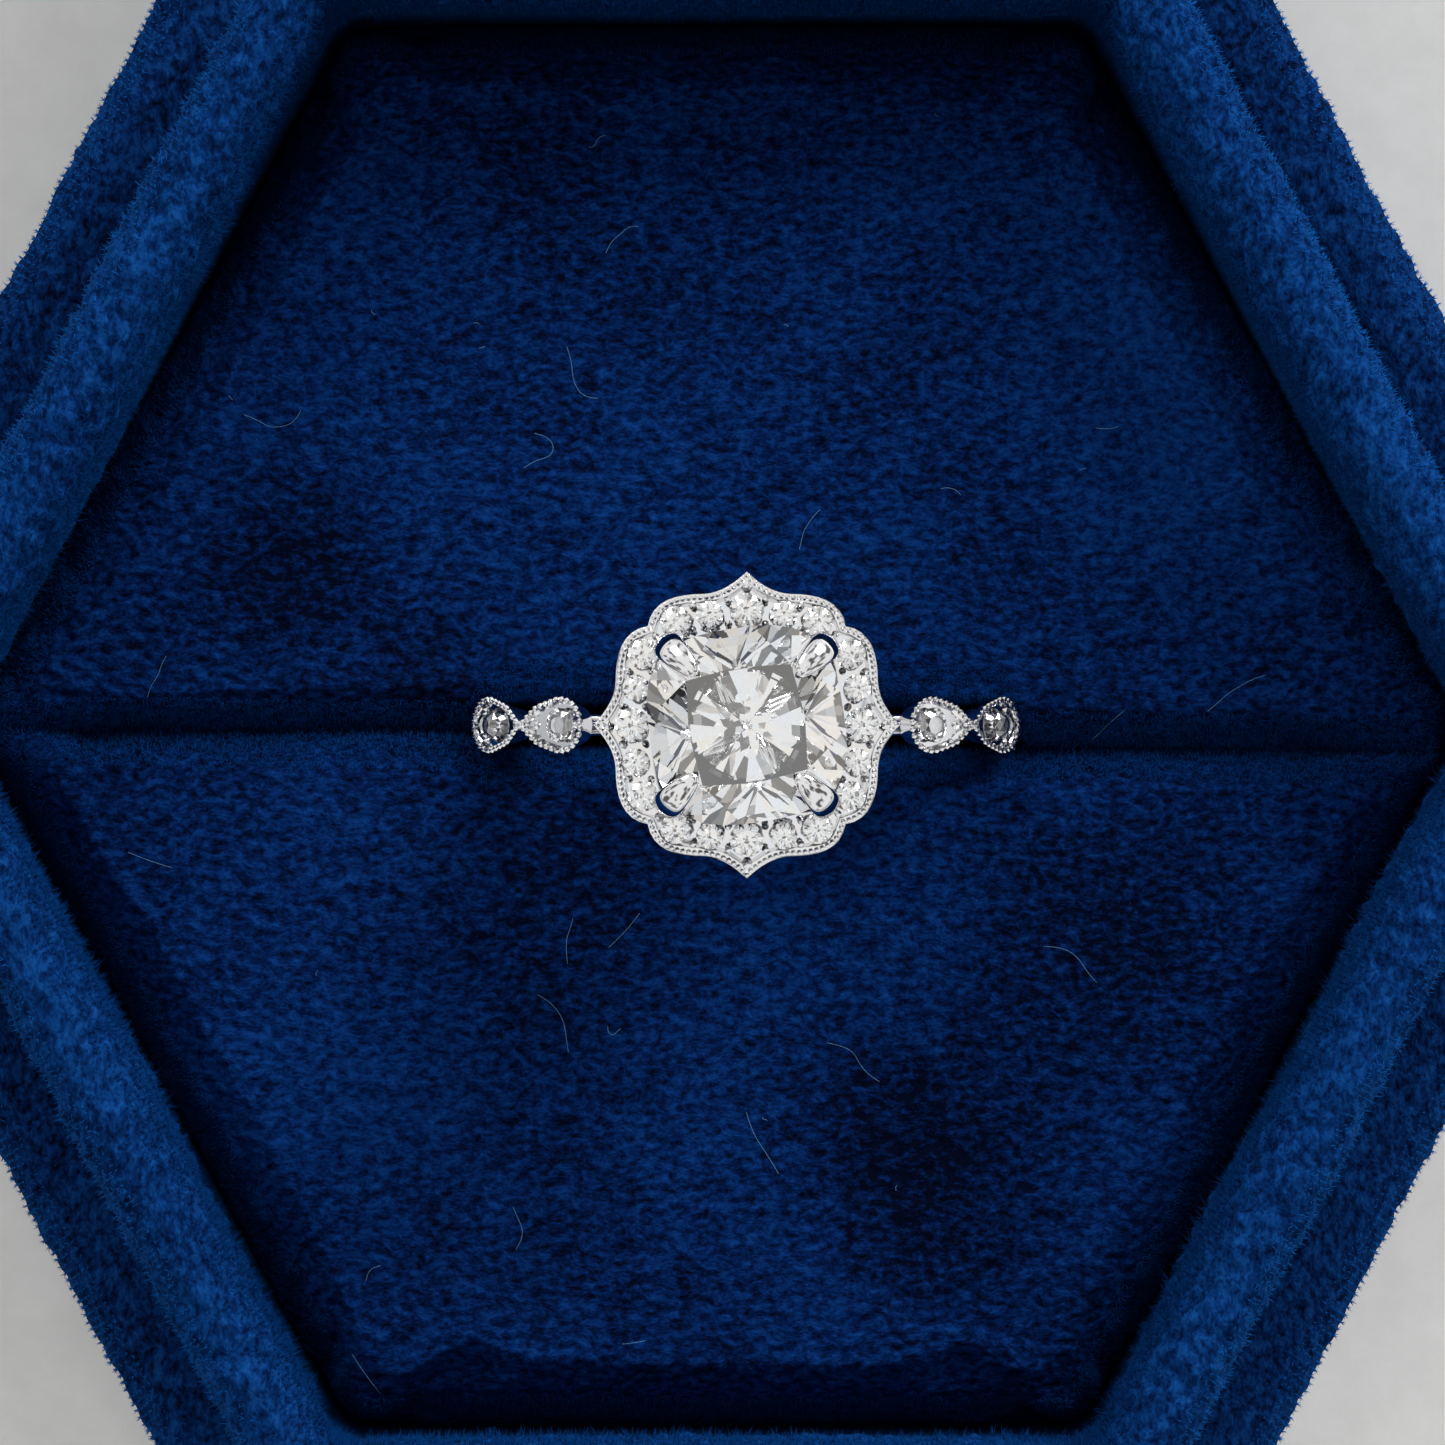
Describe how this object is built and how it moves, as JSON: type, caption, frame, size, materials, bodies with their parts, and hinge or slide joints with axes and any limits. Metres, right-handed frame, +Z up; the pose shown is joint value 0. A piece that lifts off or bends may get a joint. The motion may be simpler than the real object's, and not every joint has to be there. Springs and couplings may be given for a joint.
{
  "type": "ring box",
  "caption": "Hexagonal velvet ring box: a base with a raised collar and soft pads that grip a halo ring in their slit, and a lift-off lid lying open behind it.",
  "frame": {"origin": "centre of the base's flat underside", "axes": "+Z up out of the open box, X along the slit that holds the ring, +Y towards the lid lying behind the base"},
  "size_m": [0.0602, 0.1236, 0.0302],
  "materials": {
    "velvet": "matte",
    "felt": "matte",
    "greyboard": "matte",
    "foam": "matte",
    "white_gold": "polished",
    "stone": "polished"
  },
  "bodies": {
    "base": {"base_velvet_cover": "velvet", "base_underside_felt": "felt", "base_floor_board": "greyboard", "base_wall_board": "greyboard", "collar_board": "greyboard", "collar_velvet_cover": "velvet", "back_pad_velvet": "velvet", "back_pad_foam": "foam", "front_pad_velvet": "velvet", "front_pad_foam": "foam"},
    "lid": {"lid_velvet_cover": "velvet", "lid_wall_board": "greyboard", "lid_top_board": "greyboard", "lid_wall_lining": "velvet", "lid_pad_card": "greyboard", "lid_pad_velvet": "velvet", "lid_pad_foam": "foam"},
    "ring": {"ring_shank": "white_gold", "head_rail": "white_gold", "halo_plate": "white_gold", "claw_1": "white_gold", "claw_2": "white_gold", "claw_3": "white_gold", "claw_4": "white_gold", "centre_stone": "stone", "halo_stone_01": "stone", "halo_stone_02": "stone", "halo_stone_03": "stone", "halo_stone_04": "stone", "halo_stone_05": "stone", "halo_stone_06": "stone", "halo_stone_07": "stone", "halo_stone_08": "stone", "halo_stone_09": "stone", "halo_stone_10": "stone", "halo_stone_11": "stone", "halo_stone_12": "stone", "halo_stone_13": "stone", "halo_stone_14": "stone", "halo_stone_15": "stone", "halo_stone_16": "stone", "halo_stone_17": "stone", "halo_stone_18": "stone", "halo_stone_19": "stone", "halo_stone_20": "stone", "band_stone_1": "stone", "band_stone_2": "stone", "band_stone_3": "stone", "band_stone_4": "stone", "band_stone_5": "stone", "band_stone_6": "stone"}
  },
  "joints": [
    {"name": "lid_turn_over", "type": "hinge", "parent": "base", "child": "lid", "pos_m": [0, 0.033, 0.021], "axis": [1, 0, 0], "range_deg": [0, 180]},
    {"name": "ring_lift", "type": "slide", "parent": "base", "child": "ring", "axis": [0, 0, 1], "range_m": [0, 0.0038]}
  ]
}
